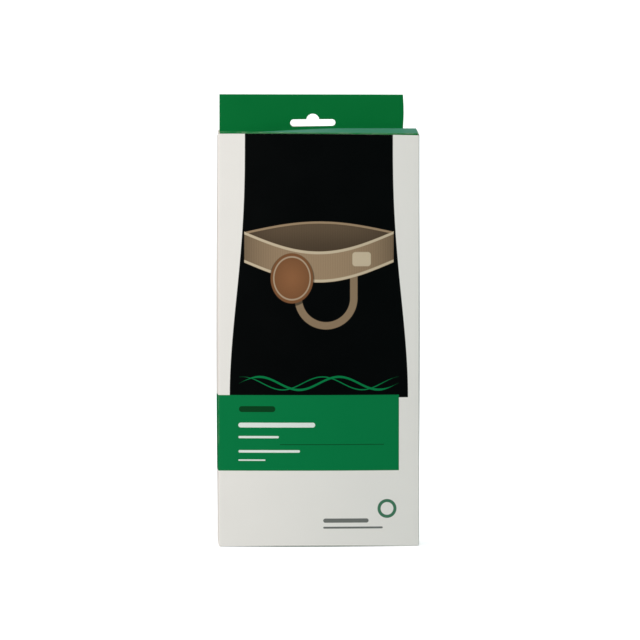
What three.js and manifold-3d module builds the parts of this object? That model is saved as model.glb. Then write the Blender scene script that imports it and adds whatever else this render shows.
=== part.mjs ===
// Hanging retail carton of folded board: a sleeve of four panels and a glue flap, a hinged lid with
// its tuck flap, a glued bottom, four dust flaps and a doubled header with a hang slot.
// Millimetres, +Z up, the printed front faces -Y, the origin is on the floor under the middle.

import * as THREE from "three";
import { mergeVertices } from "three/addons/utils/BufferGeometryUtils.js";
import Module from "manifold-3d";

// Carton, measured over its outer faces at the corners
const WIDTH = 141.5;
const DEPTH = 40;
const HEIGHT = 292.5;
const BOARD = 0.5;

// Gap between two panels along a crease, and between two that lie on each other
const SEAT = 0.3;

// Outer radius of the creases between the panels of the sleeve and at the dust flaps
const CREASE = 0.8;

// How far a wide panel bows outwards at mid height, the front at its free edges, and a side panel
const WIDE_BOW = 3.5;
const FREE_EDGE_BOW = 2.5;
const SIDE_BOW = 1;

// Back seam: how far the cut edge of the back stands in from the left side, and the glue flap's width
const SEAM_INSET = 0.7;
const GLUE_WIDTH = 14;
const GLUE_END_INSET = 4;

// Lid and bottom: inset of their ends, and how far their front folds bow out with the front panel
const CLOSURE_INSET = 1;
const CLOSURE_BOW = 1.5;

// Tuck flaps: length below the fold, inset of their ends beyond the closure's, corner radius
const TUCK_LENGTH = 12;
const TUCK_INSET = 1;
const TUCK_CORNER = 6;

// Dust flaps: length from the side, distance from the inner faces of front and back, and taper
const DUST_LENGTH = 42;
const DUST_SETBACK = 2.5;
const DUST_SHOULDER = 12;
const DUST_TAPER = 4;

// Header: height above the lid, insets of its two ends from the sides of the sleeve
const HEADER_HEIGHT = 24.3;
const HEADER_INSET_LEFT = 1.6;
const HEADER_INSET_RIGHT = 10.2;

// Hang slot: a bar with round ends and a hump on top, its offset from the middle, and the strip below it
const SLOT_WIDTH = 32;
const SLOT_BAR = 5.1;
const SLOT_HEIGHT = 9;
const SLOT_HUMP = 9.6;
const SLOT_OFFSET = -3.2;
const SLOT_LIFT = 1.9;

// Faces around a crease, along a wide panel and up a panel
const CREASE_STEPS = 3;
const WIDE_STEPS = 22;
const TALL_STEPS = 10;
const ROUND_STEPS = 5;
const NARROW_STEPS = 4;

// Colours of the print and of the board
const WHITE_PRINT = 0xdcddd8;
const GREEN_PRINT = 0x006a38;
const BARE_BOARD = 0xcfccc2;

// Sizes that follow
const halfWidth = WIDTH / 2;
const halfDepth = DEPTH / 2;
const innerDepth = halfDepth - BOARD;
const endPlay = BOARD + SEAT;
const foldY = -(innerDepth - SEAT);
const headerFrontY = halfDepth - 2 * BOARD;
const lidRearY = headerFrontY - SEAT;
const hingeY = lidRearY - BOARD / 2;
const lidReach = hingeY - foldY;

// A tuck flap leans inwards until its free edge swings on the same circle as its fold
const tuckLean = lidReach - Math.sqrt(lidReach ** 2 - TUCK_LENGTH ** 2);

const wasm = await Module();
wasm.setup();

const carton = new THREE.Group();

// Evenly spaced values from a to b, in so many steps
function steps(a, b, count) {
  return Array.from({ length: count + 1 }, (_, i) => a + ((b - a) * i) / count);
}

// Turns every face over if the body is inside out
function facedOut(geometry) {
  const p = geometry.attributes.position;
  const index = geometry.index.array;
  const [a, b, c] = [new THREE.Vector3(), new THREE.Vector3(), new THREE.Vector3()];
  let volume = 0;
  for (let i = 0; i < index.length; i += 3) {
    a.fromBufferAttribute(p, index[i]);
    b.fromBufferAttribute(p, index[i + 1]);
    c.fromBufferAttribute(p, index[i + 2]);
    volume += a.dot(b.cross(c));
  }
  if (volume < 0) {
    for (let i = 0; i < index.length; i += 3) {
      [index[i + 1], index[i + 2]] = [index[i + 2], index[i + 1]];
    }
  }
  geometry.computeVertexNormals();
  return geometry;
}

// One sheet of board. face(u, v) gives a point of the outer face and the direction away from the
// board there; the inner face lies one board behind it. us and vs are the values to step through.
function sheet(us, vs, face) {
  const points = [];
  const at = (side, i, j) => (side * us.length + i) * vs.length + j;
  for (const behind of [0, BOARD]) {
    for (const u of us) {
      for (const v of vs) {
        const { point, away } = face(u, v);
        points.push(...point.clone().addScaledVector(away, -behind).toArray());
      }
    }
  }
  const faces = [];
  const quad = (a, b, c, d) => faces.push(a, b, c, a, c, d);
  const lastU = us.length - 1;
  const lastV = vs.length - 1;
  for (let i = 0; i < lastU; i++) {
    for (let j = 0; j < lastV; j++) {
      quad(at(0, i, j), at(0, i + 1, j), at(0, i + 1, j + 1), at(0, i, j + 1));
      quad(at(1, i, j), at(1, i, j + 1), at(1, i + 1, j + 1), at(1, i + 1, j));
    }
  }
  for (let i = 0; i < lastU; i++) {
    quad(at(0, i, 0), at(1, i, 0), at(1, i + 1, 0), at(0, i + 1, 0));
    quad(at(0, i, lastV), at(0, i + 1, lastV), at(1, i + 1, lastV), at(1, i, lastV));
  }
  for (let j = 0; j < lastV; j++) {
    quad(at(0, 0, j), at(0, 0, j + 1), at(1, 0, j + 1), at(1, 0, j));
    quad(at(0, lastU, j), at(1, lastU, j), at(1, lastU, j + 1), at(0, lastU, j + 1));
  }
  const geometry = new THREE.BufferGeometry();
  geometry.setAttribute("position", new THREE.Float32BufferAttribute(points, 3));
  geometry.setIndex(faces);
  return facedOut(geometry);
}

// Share of the full bow at a place between two straight edges, 0 at the edges and 1 halfway
function bowShare(place, halfSpan) {
  return Math.cos((Math.PI * place) / (2 * halfSpan));
}

// Share of the full bow at a height on the sleeve
function heightShare(z) {
  return Math.sin((Math.PI * z) / HEIGHT);
}

const frontBow = (z) => FREE_EDGE_BOW + (WIDE_BOW - FREE_EDGE_BOW) * heightShare(z);
const backBow = (z) => WIDE_BOW * heightShare(z);

// Height of something a given distance in from the top end (1) or the bottom end (-1)
const level = (end, inwards) => (end > 0 ? HEIGHT - inwards : inwards);

const sleeveHeights = steps(level(-1, endPlay), level(1, endPlay), TALL_STEPS);

// Crease at the end of a wide panel, from the side (turn 0) to the panel's own plane (turn 1)
function creaseStation(side, turn, planeY) {
  const angle = (Math.PI / 2) * turn;
  const away = new THREE.Vector3(side * Math.cos(angle), -Math.sin(angle), 0);
  const centre = new THREE.Vector3(side * (halfWidth - CREASE), planeY + CREASE, 0);
  return { point: centre.addScaledVector(away, CREASE), away };
}

// Place on the bowed stretch of a wide panel that faces -Y
function bowedStation(x, planeY, bow) {
  const half = halfWidth - CREASE;
  const slope = ((bow * Math.PI) / (2 * half)) * Math.sin((Math.PI * x) / (2 * half));
  const point = new THREE.Vector3(x, planeY - bow * bowShare(x, half), 0);
  return { point, away: new THREE.Vector3(slope, -1, 0).normalize() };
}

// A wide panel that faces -Y: stations from left to right, each a function of the bow
function widePanel(stations, bowAt, heights) {
  return sheet(stations, heights, (station, z) => {
    const { point, away } = station(bowAt(z));
    point.z = z;
    return { point, away };
  });
}

const creaseTurns = steps(0, 1, CREASE_STEPS);
const leftCrease = creaseTurns.map((turn) => () => creaseStation(-1, turn, -halfDepth));
const rightCrease = creaseTurns.toReversed().map((turn) => () => creaseStation(1, turn, -halfDepth));

function bowedStretch(fromX, toX, count, planeY) {
  return steps(fromX, toX, count).map((x) => (bow) => bowedStation(x, planeY, bow));
}

function frontPanel() {
  const flat = halfWidth - CREASE;
  const stretch = bowedStretch(-flat, flat, WIDE_STEPS, -halfDepth).slice(1, -1);
  return widePanel([...leftCrease, ...stretch, ...rightCrease], frontBow, sleeveHeights);
}

// The back is modelled facing -Y, its cut edge at the right, and is turned round when it is placed
function backPanel() {
  const stretch = bowedStretch(-(halfWidth - CREASE), halfWidth - SEAM_INSET, WIDE_STEPS, -halfDepth);
  return widePanel([...leftCrease, ...stretch.slice(1)], backBow, sleeveHeights);
}

// The glue flap folds in from the left side and lies on the inner face of the back. It is modelled
// facing -Y like the back.
function glueFlap() {
  const planeY = -halfDepth + BOARD + SEAT;
  const crease = creaseTurns.toReversed().map((turn) => () => creaseStation(1, turn, planeY));
  const stretch = bowedStretch(halfWidth - GLUE_WIDTH, halfWidth - CREASE, NARROW_STEPS, planeY).slice(0, -1);
  const heights = steps(level(-1, GLUE_END_INSET), level(1, GLUE_END_INSET), TALL_STEPS);
  return widePanel([...stretch, ...crease], backBow, heights);
}

// A side panel between its two vertical creases, on the left (-1) or the right (1)
function sidePanel(side) {
  const frontEnd = -(halfDepth - CREASE - SEAT);
  const rearEnd = side > 0 ? halfDepth - CREASE - SEAT : innerDepth - SEAT - CREASE - SEAT;
  const creaseRoom = endPlay + CREASE + SEAT;
  const heights = steps(level(-1, creaseRoom), level(1, creaseRoom), TALL_STEPS);
  return sheet(steps(frontEnd, rearEnd, NARROW_STEPS), heights, (y, z) => {
    const bow = SIDE_BOW * heightShare(z) * bowShare(y, halfDepth);
    return {
      point: new THREE.Vector3(side * (halfWidth + bow), y, z),
      away: new THREE.Vector3(side, 0, 0),
    };
  });
}

// The lid's or the bottom's panel: flat, its rear edge at rearY, its front fold bowed
function closurePanel(end, rearY) {
  const half = halfWidth - CLOSURE_INSET;
  return sheet(steps(-half, half, WIDE_STEPS), [0, 1], (x, share) => {
    const frontY = foldY - CLOSURE_BOW * bowShare(x, halfWidth);
    return {
      point: new THREE.Vector3(x, frontY + (rearY - frontY) * share, level(end, 0)),
      away: new THREE.Vector3(0, 0, end),
    };
  });
}

// Half the width of a tuck flap at a distance from its free edge, where its corners are round
function tuckHalf(fromEdge) {
  const full = halfWidth - CLOSURE_INSET - TUCK_INSET;
  const into = Math.max(TUCK_CORNER - fromEdge, 0);
  return full - TUCK_CORNER + Math.sqrt(TUCK_CORNER ** 2 - into ** 2);
}

// A tuck flap behind the front panel, leaning inwards from its fold
function tuckFlap(end) {
  const start = endPlay;
  const corner = steps(0, Math.PI / 2, ROUND_STEPS).map(
    (angle) => TUCK_LENGTH - TUCK_CORNER * (1 - Math.sin(angle)),
  );
  const away = new THREE.Vector3(0, -(TUCK_LENGTH - start), -end * tuckLean).normalize();
  return sheet(steps(-1, 1, WIDE_STEPS), [start, ...corner], (across, down) => {
    const x = across * tuckHalf(TUCK_LENGTH - down);
    const lean = (tuckLean * (down - start)) / (TUCK_LENGTH - start);
    const y = foldY - CLOSURE_BOW * bowShare(x, halfWidth) + lean;
    return { point: new THREE.Vector3(x, y, level(end, down)), away };
  });
}

// A dust flap: its crease over the side panel, then a flat tongue that narrows to its free end
function dustFlap(side, end) {
  const rootHalf = innerDepth - DUST_SETBACK;
  const arc = creaseTurns.map((turn) => ({ turn, inwards: CREASE, half: rootHalf }));
  const tongue = [
    { turn: 1, inwards: DUST_SHOULDER, half: rootHalf },
    { turn: 1, inwards: DUST_LENGTH, half: rootHalf - DUST_TAPER },
  ];
  return sheet([...arc, ...tongue], [-1, 1], ({ turn, inwards, half }, across) => {
    const angle = (Math.PI / 2) * turn;
    const away = new THREE.Vector3(side * Math.cos(angle), 0, end * Math.sin(angle));
    const centre = new THREE.Vector3(
      side * (halfWidth - inwards),
      across * half,
      level(end, endPlay + CREASE),
    );
    return { point: centre.addScaledVector(away, CREASE), away };
  });
}

// A closed body for cutting, from a geometry of three.js
function solidOf(geometry) {
  const bare = geometry.clone();
  bare.deleteAttribute("normal");
  bare.deleteAttribute("uv");
  const merged = mergeVertices(bare);
  return new wasm.Manifold(
    new wasm.Mesh({
      numProp: 3,
      vertProperties: new Float32Array(merged.attributes.position.array),
      triVerts: new Uint32Array(merged.index.array),
    }),
  );
}

// A geometry of three.js, from a body that has been cut
function geometryOf(solid) {
  const mesh = solid.getMesh();
  const geometry = new THREE.BufferGeometry();
  geometry.setAttribute("position", new THREE.Float32BufferAttribute(mesh.vertProperties, 3));
  geometry.setIndex(Array.from(mesh.triVerts));
  geometry.computeVertexNormals();
  return geometry;
}

// Outline of the hang slot in the plane of the header: x from the slot's middle, y up from its foot
function slotOutline() {
  const endRadius = SLOT_BAR / 2;
  const endX = SLOT_WIDTH / 2 - endRadius;
  const humpRadius = SLOT_HUMP / 2;
  const humpY = SLOT_HEIGHT - humpRadius;
  const humpX = Math.sqrt(Math.max(humpRadius ** 2 - (SLOT_BAR - humpY) ** 2, 0));
  const humpFrom = Math.atan2(SLOT_BAR - humpY, humpX);
  const outline = new THREE.Shape();
  outline.moveTo(-endX, 0);
  outline.lineTo(endX, 0);
  outline.absarc(endX, endRadius, endRadius, -Math.PI / 2, Math.PI / 2, false);
  outline.lineTo(humpX, SLOT_BAR);
  outline.absarc(0, humpY, humpRadius, humpFrom, Math.PI - humpFrom, false);
  outline.lineTo(-endX, SLOT_BAR);
  outline.absarc(-endX, endRadius, endRadius, Math.PI / 2, (3 * Math.PI) / 2, false);
  return outline;
}

// The header: two layers of board glued face to face with a round fold along the top, and the slot
// cut through both. Its foot is level with the underside of the lid.
function hangHeader() {
  const foot = HEIGHT - BOARD;
  const top = HEIGHT + HEADER_HEIGHT;
  const left = -halfWidth + HEADER_INSET_LEFT;
  const right = halfWidth - HEADER_INSET_RIGHT;
  const profile = new THREE.Shape();
  profile.moveTo(headerFrontY, foot);
  profile.lineTo(halfDepth, foot);
  profile.lineTo(halfDepth, top - BOARD);
  profile.absarc(halfDepth - BOARD, top - BOARD, BOARD, 0, Math.PI, false);
  const layers = new THREE.ExtrudeGeometry(profile, {
    depth: right - left,
    bevelEnabled: false,
    curveSegments: 2 * CREASE_STEPS,
  });
  layers.applyMatrix4(
    new THREE.Matrix4().makeBasis(
      new THREE.Vector3(0, 1, 0),
      new THREE.Vector3(0, 0, 1),
      new THREE.Vector3(1, 0, 0),
    ),
  );
  layers.translate(left, 0, 0);
  const punch = new THREE.ExtrudeGeometry(slotOutline(), {
    depth: 4 * BOARD,
    bevelEnabled: false,
    curveSegments: 2 * ROUND_STEPS,
  });
  punch.rotateX(Math.PI / 2);
  punch.translate(SLOT_OFFSET, halfDepth + BOARD, HEIGHT + SLOT_LIFT);
  return geometryOf(solidOf(layers).subtract(solidOf(punch)));
}

// Adds one named panel of the carton, turned about the upright axis by so many radians
function addPanel(name, geometry, color, roughness, turn = 0) {
  const material = new THREE.MeshStandardMaterial({ color, roughness, metalness: 0 });
  const mesh = new THREE.Mesh(geometry, material);
  mesh.name = name;
  mesh.rotation.z = turn;
  carton.add(mesh);
}

addPanel("front_panel", frontPanel(), WHITE_PRINT, 0.4);
addPanel("back_panel", backPanel(), WHITE_PRINT, 0.4, Math.PI);
addPanel("left_side_panel", sidePanel(-1), WHITE_PRINT, 0.4);
addPanel("right_side_panel", sidePanel(1), WHITE_PRINT, 0.4);
addPanel("glue_flap", glueFlap(), BARE_BOARD, 0.85, Math.PI);
addPanel("hang_header", hangHeader(), GREEN_PRINT, 0.4);
addPanel("top_panel", closurePanel(1, lidRearY), GREEN_PRINT, 0.35);
addPanel("tuck_flap", tuckFlap(1), GREEN_PRINT, 0.4);
addPanel("bottom_panel", closurePanel(-1, halfDepth), GREEN_PRINT, 0.4);
addPanel("bottom_tuck_flap", tuckFlap(-1), GREEN_PRINT, 0.4);
for (const [side, sideName] of [[-1, "left"], [1, "right"]]) {
  for (const [end, endName] of [[1, "top"], [-1, "bottom"]]) {
    addPanel(`${endName}_dust_flap_${sideName}`, dustFlap(side, end), BARE_BOARD, 0.85);
  }
}

export default carton;
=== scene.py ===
"""Hanging carton of folded board, built over its CAD frame, with a plain studio stage."""

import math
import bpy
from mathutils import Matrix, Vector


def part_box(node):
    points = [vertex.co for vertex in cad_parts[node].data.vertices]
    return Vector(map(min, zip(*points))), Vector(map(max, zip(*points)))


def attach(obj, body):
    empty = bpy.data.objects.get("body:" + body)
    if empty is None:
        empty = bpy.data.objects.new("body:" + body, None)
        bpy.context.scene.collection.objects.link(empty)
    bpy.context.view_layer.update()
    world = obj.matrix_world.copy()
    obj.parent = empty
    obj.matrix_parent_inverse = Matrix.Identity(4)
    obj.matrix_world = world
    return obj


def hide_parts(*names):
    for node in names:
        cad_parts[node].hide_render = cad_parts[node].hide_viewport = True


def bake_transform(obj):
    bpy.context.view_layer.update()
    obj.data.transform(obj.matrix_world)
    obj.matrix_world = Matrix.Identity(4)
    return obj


bl_info = {
    "name": "Hanging Carton",
    "version": (1, 0, 0),
    "blender": (4, 5, 0),
    "location": "3D View > Sidebar > Carton",
    "description": "Builds a printed hanging carton of folded board with a hinged lid",
    "category": "Object",
}

from collections import Counter, namedtuple
from functools import partialmethod

import bpy
from bpy.props import FloatProperty, FloatVectorProperty, PointerProperty
from mathutils import Vector
from mathutils.geometry import delaunay_2d_cdt

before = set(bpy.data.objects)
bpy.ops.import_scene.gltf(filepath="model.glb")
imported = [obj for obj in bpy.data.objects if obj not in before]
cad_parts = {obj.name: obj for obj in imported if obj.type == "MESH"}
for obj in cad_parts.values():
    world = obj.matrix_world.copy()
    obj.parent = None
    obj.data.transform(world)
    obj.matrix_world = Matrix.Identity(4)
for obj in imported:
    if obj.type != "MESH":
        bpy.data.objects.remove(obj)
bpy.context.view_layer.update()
MM = 0.001
QUARTER = math.pi / 2

# Corners of the CAD panels, which the sizes of the boards come from
FRONT_LOW, FRONT_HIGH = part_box("front_panel")
BACK_LOW, BACK_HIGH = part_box("back_panel")
SIDE_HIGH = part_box("right_side_panel")[1]
GLUE_LOW, GLUE_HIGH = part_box("glue_flap")
HEADER_LOW, HEADER_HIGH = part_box("hang_header")
LID_LOW, LID_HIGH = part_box("top_panel")
TUCK_LOW, TUCK_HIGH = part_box("tuck_flap")
DUST_LOW, DUST_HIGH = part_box("top_dust_flap_right")

HALF_WIDTH = FRONT_HIGH.x
HALF_DEPTH = HEADER_HIGH.y
HEIGHT = LID_HIGH.z
BOARD = LID_HIGH.z - LID_LOW.z
FREE_EDGE = HEIGHT - FRONT_HIGH.z

# Closures at the top and the bottom, as in the CAD
CLOSURE_BOW = 1.5 * MM
FOLD_PLAY = 0.3 * MM
TUCK_ROUND = 6 * MM
LID_REACH = (HEADER_LOW.y - FOLD_PLAY - BOARD / 2) + (HALF_DEPTH - BOARD - FOLD_PLAY)
TUCK_LEAN = LID_REACH - math.sqrt(LID_REACH**2 - (HEIGHT - TUCK_LOW.z) ** 2)
DUST_SHOULDER = 12 * MM
DUST_TAPER = 4 * MM

# Waves across and up a wide panel, in radians a metre, each with its start
RIPPLES = ((43, 21, 1.0), (-17, 37, 0.0))

# The header's lean comes and goes along it, in radians a metre, with its start; its tilt is a
# share of the top's, and the warp at its foot fades upwards with this power
HEADER_WAVES, HEADER_START = 48, 0.6
HEADER_TILT = 0.4
FOOT_FADE = 6

# The lid's warp: shares of the half width where its rear starts to fall, and its run from the front
LEFT_FALL, RIGHT_FALL = 0.25, 0.3
WARP_RUN = 1.9 * HALF_DEPTH

# Share of the way to the bottom that the front's lower corners reach down
FOOT_REACH = 0.9

# Bends up to this angle look smooth; then the faces along the ways of the boards
SMOOTH_LIMIT = math.radians(50)
BEND_STEPS = 6
TALL_STEPS = 48
BACK_STEPS = 44
FRONT_STEPS = 64
SIDE_STEPS = 14
GLUE_STEPS = 6
LID_STEPS = 70
FLAP_STEPS = 16
# Faces along the tuck, front fold, lid, crease, front layer, top and back layer of the header
HEADER_STEPS = (6, 6, 16, 5, 14, 10, 14)
# Faces along a round end, the hump and a straight piece of the slot
ROUND_STEPS, HUMP_STEPS, FLAT_STEPS = 12, 16, 4
# Shares of the bottom's tuck flap where it is cut into faces
TUCK_SHARES = (0.25, 0.5, 0.62, 0.74, 0.84, 0.92, 0.97, 1.0)
# No corner of a face lies this near to an outline, or counts as past a place by this little
CLEARANCE = 0.4 * MM
TINY = 1e-7


def ink(red, green, blue):
    """Linear colour of a tone given as it shows on a screen, 0 to 255."""
    shares = [tone / 255 for tone in (red, green, blue)]
    return [s / 12.92 if s <= 0.04045 else ((s + 0.055) / 1.055) ** 2.4 for s in shares]


def setting(kind, **fixed):
    """Makes properties of one kind from a name, a description and a default."""
    return lambda name, description, default: kind(
        name=name, description=description, default=default, **fixed
    )


length = setting(FloatProperty, min=0.0, unit="LENGTH", precision=5)
shift = setting(FloatProperty, unit="LENGTH", precision=5)
angle = setting(FloatProperty, subtype="ANGLE")
colour = setting(FloatVectorProperty, size=3, min=0, subtype="COLOR")


class CartonSizes(bpy.types.PropertyGroup):
    """Sizes of the folded board."""

    board: length("Board", "Thickness of the board", BOARD)
    crease: length("Crease", "Outer radius of a crease of the sleeve", 0.8 * MM)
    fold: length("Fold", "Outer radius of the lid's and the bottom's front fold", 0.6 * MM)
    inner_fold: length("Inner fold", "Radius in the corner at the header's foot", 0.15 * MM)
    front_bow: length("Front bow", "Bow of the front at mid height", -FRONT_LOW.y - HALF_DEPTH)
    edge_bow: length("Edge bow", "Bow of the front at its free edges", 2.5 * MM)
    back_bow: length("Back bow", "Bow of the back at mid height", BACK_HIGH.y - HALF_DEPTH)
    side_bow: length("Side bow", "Bow of a side at mid height", SIDE_HIGH.x - HALF_WIDTH)
    ripple: length("Ripple", "Slow unevenness of the wide panels", 0.12 * MM)
    seam_inset: length("Seam inset", "Back's cut edge from the left side", HALF_WIDTH + BACK_LOW.x)
    ply_gap: length("Ply gap", "Glue line between the header's two layers", 0.05 * MM)
    header_wave: length("Header wave", "How far the header's top leans back", 0.4 * MM)
    header_bulge: length("Header bulge", "Belly of the header's right end", 0.5 * MM)
    top_tilt: length("Top tilt", "How much higher the left end of the top is", 1.4 * MM)
    rim_drop: length("Rim drop", "Fall of the front's upper edge at its corners", 0.6 * MM)
    foot_curve: length("Foot curve", "Height of the bottom's front corners", 0.3 * MM)
    rear_rise: length("Rear rise", "Height of the lid's rear in its middle", 0.3 * MM)
    rear_sink: length("Rear sink", "Fall of the lid at its rear left corner", 2.9 * MM)
    right_sink: length("Right sink", "Fall from the rear's middle to its right corner", 0.1 * MM)
    slot_width: length("Slot width", "Width of the hang slot", 32 * MM)
    slot_bar: length("Slot bar", "Height of the slot's bar", 4.85 * MM)
    slot_height: length("Slot height", "Height of the slot with its hump", 8.75 * MM)
    slot_hump: length("Slot hump", "Width of the slot's hump", 9.3 * MM)
    slot_offset: shift("Slot offset", "Slot's middle from the carton's", -3.2 * MM)
    slot_lift: length("Slot lift", "Slot's foot above the lid", 1.9 * MM)


class PrintColours(bpy.types.PropertyGroup):
    """Inks and papers."""

    white: colour("White", "Coated white board", ink(232, 229, 222))
    green: colour("Green", "Solid green of header, lid and bottom", ink(1, 108, 50))
    label: colour("Label green", "Green of the band across the front", ink(3, 118, 64))
    deep: colour("Deep green", "Dark green bars and rules", ink(6, 62, 28))
    black: colour("Black", "Dark field of the front", ink(1, 3, 3))
    belt: colour("Belt", "Woven band in the drawing", ink(153, 130, 102))
    belt_edge: colour("Belt edge", "Bound edges of the drawn band", ink(196, 180, 152))
    belt_inside: colour("Belt inside", "Inner side of the drawn band", ink(96, 80, 62))
    pad: colour("Pad", "Pad in the drawing", ink(133, 90, 58))
    pale: colour("Pale bars", "Pale bars on the band", ink(222, 230, 222))
    grey: colour("Grey bars", "Grey bars near the foot", ink(112, 115, 110))
    leaf: colour("Ring green", "Small ring near the foot", ink(67, 119, 90))
    reverse: colour("Reverse", "Uncoated inner side of the board", ink(196, 192, 182))
    core: colour("Core", "Paper in a cut edge and in a worn crease", ink(224, 218, 205))


class StageSettings(bpy.types.PropertyGroup):
    """Camera and light."""

    turn: angle("Camera turn", "Camera to the left of the front", math.radians(1.6))
    rise: angle("Camera rise", "Camera above the horizon", math.radians(5.0))
    distance: length("Camera distance", "From the front's corners to the camera", 7.0)
    view_width: length("View width", "Width of the picture at the front's corners", 0.4503)
    aim_across: shift("Aim across", "Point in the picture's middle, to the right", 0.8 * MM)
    aim_height: length("Aim height", "Point in the picture's middle, above the floor", 0.1603)
    key: colour("Key light", "Warm light from the left", (0.77, 0.69, 0.70))
    key_turn: angle("Key turn", "Key light left of the front", math.radians(50.0))
    key_rise: angle("Key rise", "Key light above the horizon", math.radians(17.0))
    key_distance: length("Key distance", "From the carton to the key light", 1.3)
    key_size: length("Key size", "Width of the key light", 0.9)
    fill: colour("Fill light", "Cool light from the right", (0.16, 0.21, 0.21))
    top: colour("Top light", "Light from above", (0.5, 0.5, 0.5))
    rear: colour("Rear light", "Brighter room behind the carton", (0.72, 0.72, 0.71))
    room: colour("Room", "Dim light from all round", (0.19, 0.228, 0.23))
    floor: colour("Floor", "Pale floor", (0.92, 0.92, 0.92))


# One place of the printed face: where it is, the way out of the board, and its place in the flat
# board in millimetres
Spot = namedtuple("Spot", "point away flat")


def evenly(a, b, count):
    """Values from a to b in so many equal steps."""
    return [a + (b - a) * i / count for i in range(count + 1)]


def limited(share):
    return min(max(share, 0.0), 1.0)


def eased(share):
    """A share from 0 to 1 that starts and ends softly."""
    share = limited(share)
    return share * share * (3 - 2 * share)


def grid_faces(columns, rows):
    """Faces of a regular grid of spots, given column by column."""
    return [
        (c * rows + r, (c + 1) * rows + r, (c + 1) * rows + r + 1, c * rows + r + 1)
        for c in range(columns - 1)
        for r in range(rows - 1)
    ]


def facing_out(spots, faces):
    """The faces, all turned over if they look into the board."""
    agree = 0.0
    for face in faces:
        a, b, c = (spots[i].point for i in face[:3])
        agree += (b - a).cross(c - a).dot(spots[face[0]].away)
    return faces if agree > 0 else [tuple(reversed(face)) for face in faces]


def board_object(name, spots, faces, thickness, materials):
    """One board: its printed face, its reverse and its cut edges, with one material for each."""
    faces = facing_out(spots, faces)
    count = len(spots)
    points = [s.point for s in spots] + [s.point - s.away.normalized() * thickness for s in spots]
    used = Counter()
    for face in faces:
        used.update(zip(face, face[1:] + face[:1]))
    rims = [(a, b) for a, b in used if (b, a) not in used]
    reverse = [tuple(count + i for i in reversed(face)) for face in faces]
    edges = [(b, a, count + a, count + b) for a, b in rims]
    mesh = bpy.data.meshes.new(name)
    mesh.from_pydata(points, [], faces + reverse + edges)
    mesh.polygons.foreach_set(
        "material_index", [0] * len(faces) + [1] * len(reverse) + [2] * len(edges)
    )
    for material in materials:
        mesh.materials.append(material)
    flat = mesh.attributes.new("board", "FLOAT_VECTOR", "POINT")
    places = [(*s.flat, 0.0) for s in spots] + [(*s.flat, thickness / MM) for s in spots]
    flat.data.foreach_set("vector", [value for place in places for value in place])
    mesh.shade_smooth()
    mesh.set_sharp_from_angle(angle=SMOOTH_LIMIT)
    mesh.validate()
    piece = bpy.data.objects.new(name, mesh)
    bpy.context.scene.collection.objects.link(piece)
    return piece


def bow_share(place, half_span):
    """Share of the bow between two straight edges, 0 at the edges and 1 halfway."""
    return math.cos(QUARTER * limited(abs(place) / half_span))


def bow_lean(bow, place, half_span):
    """How far a bowed face leans towards the nearer edge."""
    return bow * QUARTER / half_span * math.sin(QUARTER * place / half_span)


def height_share(z):
    return math.sin(math.pi * limited(z / HEIGHT))


def top_offset(sizes, x):
    """How much higher or lower the top of the carton stands at x."""
    return -sizes.top_tilt / 2 * x / HALF_WIDTH


def lid_offset(sizes, x, y):
    """Warp of the lid: level with the top at its front fold, sunk towards its rear left corner."""
    left = eased((LEFT_FALL * HALF_WIDTH - x) / ((1 + LEFT_FALL) * HALF_WIDTH))
    right = eased((x - RIGHT_FALL * HALF_WIDTH) / ((1 - RIGHT_FALL) * HALF_WIDTH))
    sunk = sizes.rear_rise * (1 - left) - sizes.rear_sink * left - sizes.right_sink * right
    rearward = math.sin(QUARTER * limited((y + HALF_DEPTH) / WARP_RUN))
    return top_offset(sizes, x) * (1 - rearward) + sunk * rearward


def fold_line(x):
    """Where the outer face of a tuck flap stands behind the bowed front."""
    return -(HALF_DEPTH - BOARD - FOLD_PLAY) - CLOSURE_BOW * bow_share(x, HALF_WIDTH)


def tuck_half(from_edge):
    """Half the width of a tuck flap so far from its free edge, which has round corners."""
    into = max(TUCK_ROUND - from_edge, 0.0)
    return TUCK_HIGH.x - TUCK_ROUND + math.sqrt(max(TUCK_ROUND**2 - into**2, 0.0))


# A place round the sleeve: which part, where along it, its place in the flat board, and the
# heights where the board starts and ends there
Station = namedtuple("Station", "part along flat low high")


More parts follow.
